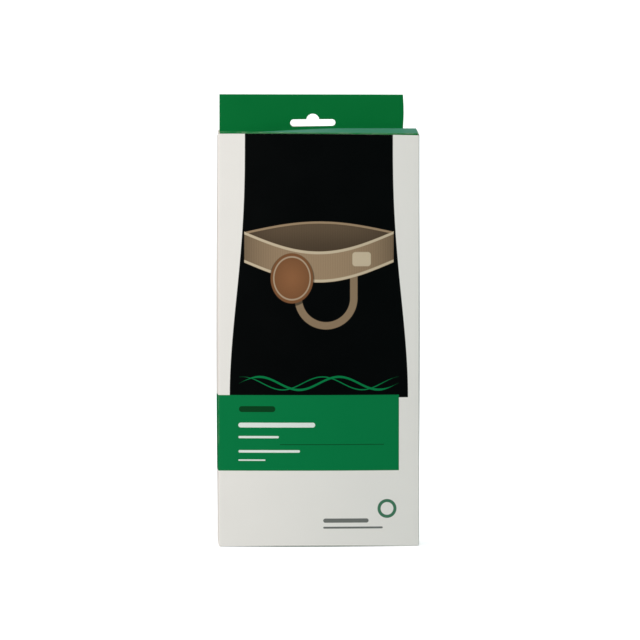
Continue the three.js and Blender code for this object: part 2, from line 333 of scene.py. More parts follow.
def sleeve_stations(sizes):
    """Places round the sleeve, from the back's cut edge round the front to the glue flap."""
    flat_half = HALF_WIDTH - sizes.crease
    side_half = HALF_DEPTH - sizes.crease
    rear_half = side_half - sizes.board
    bend = QUARTER * sizes.crease
    free_low, free_high = FREE_EDGE, HEIGHT - FREE_EDGE
    foot_drop = FOOT_REACH * (FREE_EDGE - sizes.foot_curve)
    side_low = FREE_EDGE + sizes.crease
    stations = []

    def front_ends(x):
        corner = 1 - bow_share(x, flat_half)
        drop = top_offset(sizes, x) - sizes.rim_drop * corner
        return free_low - foot_drop * corner, free_high + drop

    def back_ends(x):
        return free_low, free_high

    def side_ends(x, y):
        sag = min(lid_offset(sizes, x, y), 0.0)
        return side_low, HEIGHT - FREE_EDGE - sizes.crease + sag

    def wide(part, xs, flat_at, ends_at):
        stations.extend(Station(part, x, flat_at(x), *ends_at(x)) for x in xs)

    def side(part, ys, flat_at, x):
        stations.extend(Station(part, y, flat_at(y), *side_ends(x, y)) for y in ys)

    def corner(part, flat_start, starts, stops):
        for turn in evenly(0, 1, BEND_STEPS):
            low, high = (a + (b - a) * turn for a, b in zip(starts, stops))
            stations.append(Station(part, turn, flat_start - bend * turn, low, high))

    front_end = flat_half + bend
    right_rear = front_end + 2 * side_half + bend
    left_rear = -front_end - side_half - rear_half
    right_side = side_ends(HALF_WIDTH, side_half), side_ends(HALF_WIDTH, -side_half)
    left_side = side_ends(-HALF_WIDTH, -side_half), side_ends(-HALF_WIDTH, rear_half)

    xs = evenly(-(HALF_WIDTH - sizes.seam_inset), flat_half, BACK_STEPS)[:-1]
    wide("back", xs, lambda x: right_rear + flat_half - x, back_ends)
    corner("back right", right_rear, back_ends(flat_half), right_side[0])
    ys = evenly(side_half, -side_half, SIDE_STEPS)[1:-1]
    side("right", ys, lambda y: front_end + side_half + y, HALF_WIDTH)
    corner("front right", front_end, right_side[1], front_ends(flat_half))
    wide("front", evenly(flat_half, -flat_half, FRONT_STEPS)[1:-1], lambda x: x, front_ends)
    corner("front left", -flat_half, front_ends(-flat_half), left_side[0])
    ys = evenly(-side_half, rear_half, SIDE_STEPS)[1:-1]
    side("left", ys, lambda y: -front_end - side_half - y, -HALF_WIDTH)
    corner("back left", left_rear, left_side[1], left_side[1])
    glue_start = left_rear - bend - flat_half
    glue = evenly(-flat_half, GLUE_HIGH.x, GLUE_STEPS)[1:]
    wide("glue", glue, lambda x: glue_start - x, lambda x: (GLUE_LOW.z, GLUE_HIGH.z))
    return stations


def sleeve_spot(sizes, station, z):
    """One place of the sleeve's outer face."""
    flat_half = HALF_WIDTH - sizes.crease
    side_half = HALF_DEPTH - sizes.crease
    part, along = station.part, station.along
    flat = (station.flat / MM, z / MM)
    # Side of each corner, its middle's depth, and the way it faces where it starts
    bends = {
        "back right": (1, side_half, QUARTER),
        "front right": (1, -side_half, 0.0),
        "front left": (-1, -side_half, -QUARTER),
        "back left": (-1, side_half - sizes.board, math.pi),
    }
    if part in bends:
        side, centre_y, start = bends[part]
        around = start - QUARTER * along
        away = Vector((math.cos(around), math.sin(around), 0))
        centre = Vector((side * flat_half, centre_y, z))
        return Spot(centre + away * sizes.crease, away, flat)
    if part in ("right", "left"):
        side = 1 if part == "right" else -1
        bow = sizes.side_bow * height_share(z)
        out = HALF_WIDTH + bow * bow_share(along, side_half)
        away = Vector((side, bow_lean(bow, along, side_half), 0))
        return Spot(Vector((side * out, along, z)), away, flat)
    share = bow_share(along, flat_half)
    if part == "front":
        bow = sizes.edge_bow + (sizes.front_bow - sizes.edge_bow) * height_share(z)
        facing, plane = -1, HALF_DEPTH
    else:
        bow = sizes.back_bow * height_share(z)
        facing, plane = 1, HALF_DEPTH - (sizes.board if part == "glue" else 0.0)
    uneven = sum(math.sin(a * along + b * z + start) for a, b, start in RIPPLES)
    ripple = -sizes.ripple * (1 + uneven / 2) * share * height_share(z)
    out = plane + bow * share + ripple
    away = Vector((bow_lean(bow, along, flat_half), facing, 0))
    return Spot(Vector((along, facing * out, z)), away, flat)


def build_sleeve(sizes, materials):
    """Front, sides, back and glue flap as the one board that they are."""
    stations = sleeve_stations(sizes)
    spots = [
        sleeve_spot(sizes, station, z)
        for station in stations
        for z in evenly(station.low, station.high, TALL_STEPS)
    ]
    faces = grid_faces(len(stations), TALL_STEPS + 1)
    return board_object("sleeve", spots, faces, sizes.board, materials)


# Where each part of the header's board starts, from the tuck flap's free edge to the rear's end
Starts = namedtuple("Starts", "tuck fold lid crease ply top back end")


class HeaderPath:
    """The way of one board from the header's back over its top, down to the lid and the tuck."""

    def __init__(self, sizes):
        self.sizes = sizes
        self.tuck_length = HEIGHT - TUCK_LOW.z - sizes.fold
        self.lid_length = HEADER_LOW.y - sizes.inner_fold + HALF_DEPTH - sizes.fold
        self.round = (HEADER_HIGH.y - HEADER_LOW.y) / 2
        self.ply_length = HEADER_HIGH.z - self.round - HEIGHT - sizes.inner_fold
        starts = [-self.tuck_length, 0.0]
        for part in (
            QUARTER * sizes.fold,
            self.lid_length,
            QUARTER * sizes.inner_fold,
            self.ply_length,
            math.pi * self.round,
            HEADER_HIGH.z - self.round - (HEIGHT - FREE_EDGE),
        ):
            starts.append(starts[-1] + part)
        self.at = Starts(*starts)

    def rows(self):
        """Distances along the board where it is cut into faces."""
        rows = [self.at.tuck]
        for start, end, count in zip(self.at, self.at[1:], HEADER_STEPS):
            rows += evenly(start, end, count)[1:]
        return rows

    def half_at(self, v):
        """Left and right end of the board at a distance along it."""
        if v > self.at.crease + TINY:
            return HEADER_LOW.x, HEADER_HIGH.x
        if v >= self.at.fold:
            return LID_LOW.x, LID_HIGH.x
        half = tuck_half(v - self.at.tuck)
        return -half, half

    def spot(self, u, v):
        """One place of the printed face."""
        sizes, at = self.sizes, self.at
        flat = (u / MM, v / MM)
        fold_y = fold_line(u)
        lift = lid_offset(sizes, u, -HALF_DEPTH)
        rear = lid_offset(sizes, u, HEADER_LOW.y)
        if v < at.fold:
            lean = TUCK_LEAN * (-v) / self.tuck_length
            point = Vector((u, fold_y + lean, HEIGHT - sizes.fold + v + lift))
            return Spot(point, Vector((0, -1, -TUCK_LEAN / self.tuck_length)), flat)
        if v < at.lid:
            around = (v - at.fold) / sizes.fold
            away = Vector((0, -math.cos(around), math.sin(around)))
            centre = Vector((u, fold_y + sizes.fold, HEIGHT - sizes.fold + lift))
            return Spot(centre + away * sizes.fold, away, flat)
        if v < at.crease:
            front, back = fold_y + sizes.fold, HEADER_LOW.y - sizes.inner_fold
            y = front + (back - front) * (v - at.lid) / self.lid_length
            return Spot(Vector((u, y, HEIGHT + lid_offset(sizes, u, y))), Vector((0, 0, 1)), flat)
        if v < at.ply:
            around = (v - at.crease) / sizes.inner_fold
            away = Vector((0, -math.sin(around), math.cos(around)))
            centre = Vector((u, HEADER_LOW.y - sizes.inner_fold, HEIGHT + sizes.inner_fold + rear))
            return Spot(centre - away * sizes.inner_fold, away, flat)
        if v < at.top:
            share = (v - at.ply) / self.ply_length
            foot = HEIGHT + sizes.inner_fold
            z = foot + self.ply_length * share + rear * (1 - share) ** FOOT_FADE
            y, away = HEADER_LOW.y, Vector((0, -1, 0))
        elif v < at.back:
            around = (v - at.top) / self.round
            away = Vector((0, -math.cos(around), math.sin(around)))
            y = HEADER_LOW.y + self.round + away.y * self.round
            z = HEADER_HIGH.z - self.round + away.z * self.round
            share = 1.0
        else:
            z = HEADER_HIGH.z - self.round - (v - at.back)
            y, away = HEADER_HIGH.y, Vector((0, 1, 0))
            share = (z - HEIGHT) / (HEADER_HIGH.z - HEIGHT)
        up = limited(share)
        wave = sizes.header_wave * up**2 * (1 + math.sin(u * HEADER_WAVES + HEADER_START)) / 2
        bulge = sizes.header_bulge * math.sin(math.pi * up) * max(u / HEADER_HIGH.x, 0.0) ** 4
        tilt = HEADER_TILT * top_offset(sizes, u) * up
        return Spot(Vector((u + bulge, y + wave, z + tilt)), away, flat)

    def outline(self, columns):
        """Outline of the flat board, with its rows and columns as corners."""
        rows = self.rows()
        split = self.at.crease
        lower = [v for v in rows if v <= split + TINY]
        upper = [v for v in rows if v > split + TINY]
        leftwards = list(reversed(columns))
        tuck_end = self.half_at(rows[0])[1]
        return [
            *((self.half_at(v)[1], v) for v in lower),
            *((u, split) for u in leftwards if HEADER_HIGH.x < u < LID_HIGH.x),
            *((HEADER_HIGH.x, v) for v in [split, *upper]),
            *((u, rows[-1]) for u in leftwards if HEADER_LOW.x < u < HEADER_HIGH.x),
            *((HEADER_LOW.x, v) for v in [*reversed(upper), split]),
            *((self.half_at(v)[0], v) for v in reversed(lower)),
            *((u, rows[0]) for u in columns if -tuck_end < u < tuck_end),
        ]

    def slot_outlines(self):
        """The slot in the header's front layer, and its mirror image in the back layer."""
        sizes = self.sizes
        lift = sizes.slot_lift - sizes.inner_fold
        back_foot = self.at.back + self.ply_length - lift
        shape = slot_shape(sizes)
        front = [(sizes.slot_offset + x, self.at.ply + lift + y) for x, y in shape]
        back = [(sizes.slot_offset + x, back_foot - y) for x, y in shape]
        return front, back


def arc(centre_x, centre_y, radius, start, end, count):
    """Corners of an arc."""
    return [
        (centre_x + radius * math.cos(around), centre_y + radius * math.sin(around))
        for around in evenly(start, end, count)
    ]


def slot_shape(sizes):
    """Corners of the hang slot: a bar with round ends and a hump, x from its middle, y up."""
    bar, radius, hump = sizes.slot_bar, sizes.slot_bar / 2, sizes.slot_hump / 2
    end_x = sizes.slot_width / 2 - radius
    hump_y = sizes.slot_height - hump
    hump_x = math.sqrt(max(hump**2 - (bar - hump_y) ** 2, 0.0))
    start = math.atan2(bar - hump_y, hump_x)
    return [
        *((x, 0.0) for x in evenly(-end_x, end_x, ROUND_STEPS)),
        *arc(end_x, radius, radius, -QUARTER, QUARTER, ROUND_STEPS)[1:],
        *((x, bar) for x in evenly(end_x, hump_x, FLAT_STEPS)[1:-1]),
        *arc(0.0, hump_y, hump, start, math.pi - start, HUMP_STEPS),
        *((x, bar) for x in evenly(-hump_x, -end_x, FLAT_STEPS)[1:]),
        *arc(-end_x, radius, radius, QUARTER, 3 * QUARTER, ROUND_STEPS)[1:-1],
    ]


def inside(point, loop):
    """True if a point of the flat board lies inside a closed loop."""
    x, y = point
    within = False
    for (ax, ay), (bx, by) in zip(loop, loop[1:] + loop[:1]):
        if (ay > y) != (by > y) and x < ax + (bx - ax) * (y - ay) / (by - ay):
            within = not within
    return within


def clear_of(point, loop, distance):
    return all(math.dist(point, corner) > distance for corner in loop)


def build_header_and_lid(sizes, materials):
    """The doubled header with its slot, the lid and the tuck flap, folded from one board."""
    path = HeaderPath(sizes)
    columns = evenly(LID_LOW.x, LID_HIGH.x, LID_STEPS)
    outline = path.outline(columns)
    slots = path.slot_outlines()
    points, edges = [], []
    for loop in (outline, *slots):
        ids = list(range(len(points), len(points) + len(loop)))
        edges += zip(ids, ids[1:] + ids[:1])
        points += [Vector(place) for place in loop]
    for v in path.rows()[1:-1]:
        low, high = path.half_at(v)
        for u in columns:
            if not low + CLEARANCE < u < high - CLEARANCE:
                continue
            place = Vector((u, v))
            if all(clear_of(place, slot, CLEARANCE) and not inside(place, slot) for slot in slots):
                points.append(place)
    places, _, triangles, *_ = delaunay_2d_cdt(points, edges, [], 0, TINY)
    faces = []
    for triangle in triangles:
        centre = sum((places[i] for i in triangle), Vector((0, 0))) / 3
        if inside(centre, outline) and not any(inside(centre, slot) for slot in slots):
            faces.append(tuple(triangle))
    spots = [path.spot(p.x, p.y) for p in places]
    thickness = path.round - sizes.ply_gap / 2
    return board_object("header_and_lid", spots, faces, thickness, materials)


def build_dust_flap(sizes, name, side, end, materials):
    """A flap that folds in from a side, under the lid or over the bottom."""
    root_half = DUST_HIGH.y
    crease = sizes.crease
    centre_z = HEIGHT - FREE_EDGE - crease if end > 0 else FREE_EDGE + crease
    reach = HALF_WIDTH - DUST_LOW.x
    profile = [(turn, crease, root_half) for turn in evenly(0, 1, BEND_STEPS)]
    for inwards in evenly(crease, reach, FLAP_STEPS)[1:]:
        share = max((inwards - DUST_SHOULDER) / (reach - DUST_SHOULDER), 0.0)
        profile.append((1.0, inwards, root_half - DUST_TAPER * share))
    spots = []
    for turn, inwards, half in profile:
        around = QUARTER * turn
        away = Vector((side * math.cos(around), 0, end * math.sin(around)))
        travel = around * crease + inwards - crease
        for across in evenly(-1, 1, SIDE_STEPS):
            x, y = side * (HALF_WIDTH - inwards), across * half
            sag = min(lid_offset(sizes, x, y), 0.0) if end > 0 else 0.0
            point = Vector((x, y, centre_z + sag)) + away * crease
            spots.append(Spot(point, away, (travel / MM, y / MM)))
    faces = grid_faces(len(profile), SIDE_STEPS + 1)
    return board_object(name, spots, faces, sizes.board, materials)


def bottom_place(sizes, part, share, across):
    """A place of the bottom's outer face, and the way out of the board there."""
    crease, fold = sizes.crease, sizes.fold
    tuck_top = HEIGHT - TUCK_LOW.z
    rear_y = HALF_DEPTH - crease
    half = tuck_half((1 - share) * (tuck_top - fold)) if part == "tuck" else LID_HIGH.x
    x = across * half
    fold_y = fold_line(x)
    raised = sizes.foot_curve * (1 - bow_share(x, HALF_WIDTH))
    around = QUARTER * share
    if part == "rear":
        away = Vector((0, math.cos(around), -math.sin(around)))
        return Vector((x, rear_y, crease)) + away * crease, away
    if part == "flat":
        y = rear_y + (fold_y + fold - rear_y) * share
        return Vector((x, y, raised * share)), Vector((0, 0, -1))
    if part == "fold":
        away = Vector((0, -math.sin(around), -math.cos(around)))
        return Vector((x, fold_y + fold, fold + raised)) + away * fold, away
    point = Vector((x, fold_y + TUCK_LEAN * share, fold + raised + (tuck_top - fold) * share))
    return point, Vector((0, -1, TUCK_LEAN / tuck_top))


def build_bottom(sizes, materials):
    """The bottom from the crease at the back to its tuck flap behind the front."""
    profile = [("rear", turn) for turn in evenly(0, 1, BEND_STEPS)]
    profile += [("flat", share) for share in evenly(0, 1, SIDE_STEPS)[1:-1]]
    profile += [("fold", turn) for turn in evenly(0, 1, BEND_STEPS)]
    profile += [("tuck", share) for share in TUCK_SHARES]
    columns = evenly(-1, 1, FRONT_STEPS)
    spots = []
    for across in columns:
        travel = 0.0
        before = None
        for part, share in profile:
            point, away = bottom_place(sizes, part, share, across)
            travel += (point - before).length if before else 0.0
            before = point
            spots.append(Spot(point, away, (point.x / MM, travel / MM)))
    faces = grid_faces(len(columns), len(profile))
    return board_object("bottom", spots, faces, sizes.board, materials)


class Wiring:
    """Adds nodes to one tree and links them."""

    def __init__(self, tree):
        self.tree = tree

    def node(self, kind, **settings):
        node = self.tree.nodes.new(kind)
        for name, value in settings.items():
            setattr(node, name, value)
        return node

    def feed(self, node, given):
        """Links inputs, by name or number, to sockets or sets them; gives the node's outputs."""
        for key, value in given.items():
            socket = node.inputs[key]
            if isinstance(value, bpy.types.NodeSocket):
                self.tree.links.new(value, socket)
            elif socket.type == "RGBA" and len(value) == 3:
                socket.default_value = (*value, 1.0)
            else:
                socket.default_value = value
        return node.outputs

    def put(self, kind, given, **settings):
        """Adds a node, feeds it and gives its outputs."""
        return self.feed(self.node(kind, **settings), given)

    def calc(self, operation, *values):
        return self.put("ShaderNodeMath", dict(enumerate(values)), operation=operation)[0]

    add = partialmethod(calc, "ADD")
    sub = partialmethod(calc, "SUBTRACT")
    mul = partialmethod(calc, "MULTIPLY")
    mul_add = partialmethod(calc, "MULTIPLY_ADD")
    size = partialmethod(calc, "ABSOLUTE")
    most = partialmethod(calc, "MAXIMUM")

    def hypot(self, a, b):
        squares = self.add(self.calc("POWER", a, 2.0), self.calc("POWER", b, 2.0))
        return self.calc("SQRT", squares)

    def mix(self, share, a, b):
        return self.put("ShaderNodeMix", {"Factor": share, 6: a, 7: b}, data_type="RGBA")[2]

    def scaled(self, vector, factor):
        """A colour or place times one factor, or times one for each of its three values."""
        return self.put("ShaderNodeVectorMath", {0: vector, 1: factor}, operation="MULTIPLY")[0]

    def split(self, vector):
        return self.put("ShaderNodeSeparateXYZ", {0: vector})

    def noise(self, vector, scale, detail=2.0, roughness=0.5):
        given = {"Vector": vector, "Scale": scale, "Detail": detail, "Roughness": roughness}
        return self.put("ShaderNodeTexNoise", given)[0]

    def ramp(self, value, start, end):
        """0 below start, 1 above end, soft between; start may be above end."""
        given = {"Value": value, "From Min": start, "From Max": end}
        return self.put("ShaderNodeMapRange", given, interpolation_type="SMOOTHSTEP")[0]

    def near(self, distance, reach, blur):
        """1 where the distance is less than the reach, 0 where it is more, with a soft edge."""
        return self.ramp(distance, reach + blur, reach - blur)

    def effect(self, name, **given):
        """Places a shared group, made once; half_line feeds its input Half Line, and so on."""
        tree = bpy.data.node_groups.get(name) or new_group(name)
        given = {key.replace("_", " ").title(): given[key] for key in given}
        return self.put("ShaderNodeGroup", given, node_tree=tree)


def new_group(name):
    """A node group with named sockets; an input without a default takes a place."""
    wire, inputs = EFFECTS[name]
    tree = bpy.data.node_groups.new(name, "ShaderNodeTree")
    for label, default in inputs.items():
        kind = "NodeSocketVector" if default is None else "NodeSocketFloat"
        socket = tree.interface.new_socket(name=label, in_out="INPUT", socket_type=kind)
        if default is not None:
            socket.default_value = default
    w = Wiring(tree)
    results = wire(w, w.node("NodeGroupInput").outputs)
    for label in results:
        tree.interface.new_socket(name=label, in_out="OUTPUT", socket_type="NodeSocketFloat")
    w.put("NodeGroupOutput", results)
    return tree


def patch_mask(w, given):
    """Mask of a rectangle with round corners."""
    legs = []
    for place, half in (("Across", "Half Width"), ("Up", "Half Height")):
        offset = w.size(w.sub(given[place], given[f"Centre {place}"]))
        legs.append(w.most(w.sub(offset, w.sub(given[half], given["Corner"])), 0.0))
    beyond = w.sub(w.hypot(*legs), given["Corner"])
    return {"Mask": w.ramp(beyond, given["Blur"], w.mul(given["Blur"], -1.0))}


def hoop_mask(w, given):
    """Mask of an oval ring, or of a filled oval when its radius is nothing."""
    across = w.sub(given["Across"], given["Centre Across"])
    up = w.calc("DIVIDE", w.sub(given["Up"], given["Centre Up"]), given["Tallness"])
    beyond = w.sub(w.size(w.sub(w.hypot(across, up), given["Radius"])), given["Half Line"])
    return {"Mask": w.ramp(beyond, given["Blur"], w.mul(given["Blur"], -1.0))}


def coated_board(w, given):
    """Fine grain and slow mottle of coated board."""
    place = given["Place"]
    slow = w.sub(w.noise(place, 0.035, detail=3.0), 0.5)
    fine = w.sub(w.noise(place, 2.4, detail=3.0, roughness=0.6), 0.5)
    fibres = w.noise(w.scaled(place, (0.35, 1.3, 1.0)), 1.1)
    tone = w.mul_add(slow, given["Mottle"], 1.0)
    return {
        "Tone": w.mul_add(fine, given["Grain"], tone),
        "Roughness": w.mul_add(fine, 0.1, w.mul_add(slow, 0.12, given["Gloss"])),
        "Height": w.mul_add(fine, 0.5, w.mul(fibres, 0.6)),
    }


def fold_wear(w, given):
    """Cracked ink along a fold or an edge, where the paper shows."""
    near = w.ramp(given["Distance"], given["Band"], 0.0)
    cracks = w.noise(given["Place"], 1.6, detail=4.0, roughness=0.7)
    level = w.mul_add(w.noise(given["Place"], 0.09), 0.5, w.mul(cracks, 0.6))
    eaten = w.ramp(level, w.sub(0.92, w.mul(near, given["Amount"])), 1.0)
    return {"Mask": w.mul(eaten, near)}


def paper_fibre(w, given):
    """Uncoated paper: specks, soft clouds and lifted fibres."""
    place = given["Place"]
    clouds = w.sub(w.noise(place, 0.12, detail=3.0), 0.5)
    strands = w.noise(w.scaled(place, (0.25, 1.4, 1.0)), 2.0, detail=4.0, roughness=0.7)
    specks = w.ramp(w.noise(place, 1.3), 0.68, 0.76)
    tone = w.mul_add(w.sub(strands, 0.5), 0.12, w.mul_add(clouds, given["Clouds"], 1.0))
    return {"Tone": w.sub(tone, w.mul(specks, given["Specks"])), "Height": strands}


# Each effect with its inputs and what they are unless given
SHAPE = {"Across": 0.0, "Up": 0.0, "Centre Across": 0.0, "Centre Up": 0.0, "Blur": 0.15}
EFFECTS = {
    "Printed Patch": (patch_mask, {**SHAPE, "Half Width": 1.0, "Half Height": 1.0, "Corner": 0.2}),
    "Printed Hoop": (hoop_mask, {**SHAPE, "Radius": 1.0, "Tallness": 1.0, "Half Line": 0.5}),
    "Coated Board": (coated_board, {"Place": None, "Gloss": 0.4, "Mottle": 0.04, "Grain": 0.03}),
    "Fold Wear": (fold_wear, {"Place": None, "Distance": 10.0, "Band": 0.8, "Amount": 0.5}),
    "Paper Fibre": (paper_fibre, {"Place": None, "Specks": 0.3, "Clouds": 0.12}),
}


def material_parts(name, roughness=0.5, specular=0.5):
    """A new material, its wiring, its Principled BSDF and the place in the flat board."""
    material = bpy.data.materials.new(name)
    material.use_nodes = True
    tree = material.node_tree
    tree.nodes.clear()
    w = Wiring(tree)
    shader = w.node("ShaderNodeBsdfPrincipled")
    w.feed(shader, {"Roughness": roughness, "Specular IOR Level": specular})
    w.put("ShaderNodeOutputMaterial", {"Surface": shader.outputs[0]})
    flat = w.node("ShaderNodeAttribute", attribute_name="board").outputs["Vector"]
    return material, w, shader, flat


# Height of the relief of coated board, of the reverse and of a cut edge
COAT_DEPTH, REVERSE_DEPTH, EDGE_DEPTH = 0.012 * MM, 0.03 * MM, 0.02 * MM
# How much rougher and lower worn places are, and how much higher the board is over the seam
WORN_ROUGHNESS, WORN_DEPTH, SEAM_STEP = 0.35, -0.8, 4.0
WHITE_COAT = {"gloss": 0.42, "mottle": 0.035, "grain": 0.03}
GREEN_COAT = {"gloss": 0.4, "mottle": 0.1, "grain": 0.08}
GREEN_SHEEN = {"Sheen Weight": 0.22, "Sheen Roughness": 0.3, "Sheen Tint": (0.45, 0.95, 1.0)}


def finish(w, shader, tone, height, depth, **given):
    """Feeds the shader's colour, its relief and what else is given."""
    bump = w.put("ShaderNodeBump", {"Strength": 1.0, "Distance": depth, "Height": height})
    w.feed(shader, {"Base Color": tone, "Normal": bump[0], **given})


def coat_board(w, shader, flat, ground, gloss, mottle, grain, worn=None, seam=None):
    """Coated board with its grain, rough and low where it is worn, raised over the seam."""
    coat = w.effect("Coated Board", place=flat, gloss=gloss, mottle=mottle, grain=grain)
    roughness, height = coat["Roughness"], coat["Height"]
    if worn:
        roughness = w.mul_add(worn, WORN_ROUGHNESS, roughness)
        height = w.mul_add(worn, WORN_DEPTH, height)
    if seam:
        height = w.mul_add(seam, SEAM_STEP, height)
    tone = w.scaled(ground, coat["Tone"])
    finish(w, shader, tone, height, COAT_DEPTH, Roughness=roughness)


# The drawn belt in millimetres of the flat board: its band, the loop below it, its pad and its tab
BELT_HALF = 52.5
BAND_FOOT, BAND_DIP, BAND_HEIGHT = 201.0, 14.0, 22.0
BINDING, BINDING_MIDDLE = 0.95, 1.1
FAR_RIM, FAR_RISE = 222.6, 7.5
RIB_WAVES = 5.2
LOOP_MIDDLE, LOOP_HEIGHT, LOOP_TOP = 5.0, 176.0, 205.5
LOOP_RADIUS, LOOP_LINE = 19.5, 2.6
PAD_MIDDLE, PAD_HEIGHT, PAD_TALLNESS = -19.0, 190.0, 1.18
PAD_RADIUS, PAD_SHADE, PAD_SWELL, PAD_SEAM, SEAM_LINE = 15.0, 15.8, 8.0, 12.8, 0.45
TAB = {"centre_across": 30.0, "centre_up": 203.4, "half_width": 6.5, "half_height": 5.0}


def belt_drawing(w, across, up, ground, inks):
    """A closed woven belt with a pad and a strap, drawn flat on the dark field."""

    def oval(middle, height, radius, half_line, blur=0.3, tallness=1.0):
        return w.effect(
            "Printed Hoop", across=across, up=up, centre_across=middle, centre_up=height,
            radius=radius, half_line=half_line, blur=blur, tallness=tallness,
        )["Mask"]

    def pad_oval(radius, half_line, blur=0.3, height=PAD_HEIGHT):
        return oval(PAD_MIDDLE, height, radius, half_line, blur, PAD_TALLNESS)

    loop = oval(LOOP_MIDDLE, LOOP_HEIGHT, LOOP_RADIUS, LOOP_LINE, blur=0.25)
    below = w.ramp(up, LOOP_HEIGHT + 0.8, LOOP_HEIGHT + 0.4)
    leg = w.size(w.sub(w.size(w.sub(across, LOOP_MIDDLE)), LOOP_RADIUS))
    above = w.ramp(up, LOOP_HEIGHT - 0.8, LOOP_HEIGHT - 0.4)
    legs = w.mul(w.near(leg, LOOP_LINE, 0.25), w.mul(above, w.near(up, LOOP_TOP, 0.5)))
    strap = w.most(w.mul(loop, below), legs)
    ground = w.mix(strap, ground, [0.8 * tone for tone in inks.belt])

    turn = w.calc("DIVIDE", across, BELT_HALF / QUARTER)
    crest = w.calc("COSINE", turn)
    span = w.near(w.size(across), BELT_HALF, 0.2)
    foot = w.mul_add(crest, -BAND_DIP, BAND_FOOT)
    risen = w.sub(up, foot)
    far = w.sub(w.mul_add(crest, FAR_RISE, FAR_RIM), up)
    above_brim = w.ramp(risen, BAND_HEIGHT - 0.2, BAND_HEIGHT + 0.2)
    hollow = w.mul(w.mul(above_brim, w.ramp(far, -0.2, 0.2)), span)
    ribs = w.calc("SINE", w.mul(across, RIB_WAVES))
    round_off = w.mul_add(w.calc("POWER", w.size(turn), 3.0), -0.12, 1.0)
    depth = w.mul_add(w.ramp(far, 0.0, BAND_HEIGHT), -0.4, round_off)
    ground = w.mix(hollow, ground, w.scaled(inks.belt_inside, w.mul_add(ribs, 0.05, depth)))
    far_edge = w.near(w.size(w.sub(far, 0.8)), 0.75, 0.15)
    ground = w.mix(w.mul(w.mul(far_edge, above_brim), span), ground, inks.belt)

    from_middle = w.size(w.sub(risen, BAND_HEIGHT / 2))
    band = w.mul(w.near(from_middle, BAND_HEIGHT / 2, 0.2), span)
    ground = w.mix(band, ground, w.scaled(inks.belt, w.mul_add(ribs, 0.07, round_off)))
    rim = w.size(w.sub(from_middle, BAND_HEIGHT / 2 - BINDING_MIDDLE))
    ground = w.mix(w.mul(w.near(rim, BINDING, 0.15), span), ground, inks.belt_edge)

    shade = pad_oval(0.0, PAD_SHADE, height=PAD_HEIGHT - 1.0)
    ground = w.mix(w.mul(shade, 0.65), ground, inks.black)
    swell = w.mul_add(pad_oval(0.0, PAD_SWELL, blur=9.0), 0.3, 0.78)
    ground = w.mix(pad_oval(0.0, PAD_RADIUS), ground, w.scaled(inks.pad, swell))
    ground = w.mix(w.mul(pad_oval(PAD_SEAM, SEAM_LINE), 0.6), ground, inks.belt_edge)
    tab = w.effect("Printed Patch", across=across, up=up, corner=2.2, blur=0.3, **TAB)["Mask"]
    return w.mix(tab, ground, inks.belt_edge)


# Plain bars of the label and the foot: middle across, middle up, half width, half height, ink
BARS = (
    (-43.5, 97.6, 12.8, 2.1, "deep"),
    (-29.7, 86.3, 27.0, 1.7, "pale"),
    (-42.5, 77.8, 14.2, 0.8, "pale"),
    (-35.0, 67.7, 21.6, 0.9, "pale"),
    (-47.2, 61.5, 9.5, 0.5, "pale"),
    (9.2, 72.5, 36.7, 0.22, "deep"),
    (19.0, 18.6, 16.0, 1.5, "grey"),
    (24.0, 13.6, 21.0, 0.7, "grey"),
)
RING = {"centre_across": 48.0, "centre_up": 27.0, "radius": 5.6, "half_line": 1.1}
FIELD_FOOT, FIELD_TOP_HALF, FIELD_FOOT_HALF = 105.6, 52.0, 62.8
LABEL_RIGHT, LABEL_FOOT, LABEL_TOP, LABEL_WRAP = 56.4, 54.0, 107.5, 112.0
# The two wavy lines: start of the wave and half the line; then what both share
WAVES = ((0.0, 0.8), (1.3, 0.4))
WAVE_FOOT, WAVE_SWING, WAVE_RATE, WAVE_THIN, WAVE_END = 115.8, 4.6, 0.112, 40.0, 56.4


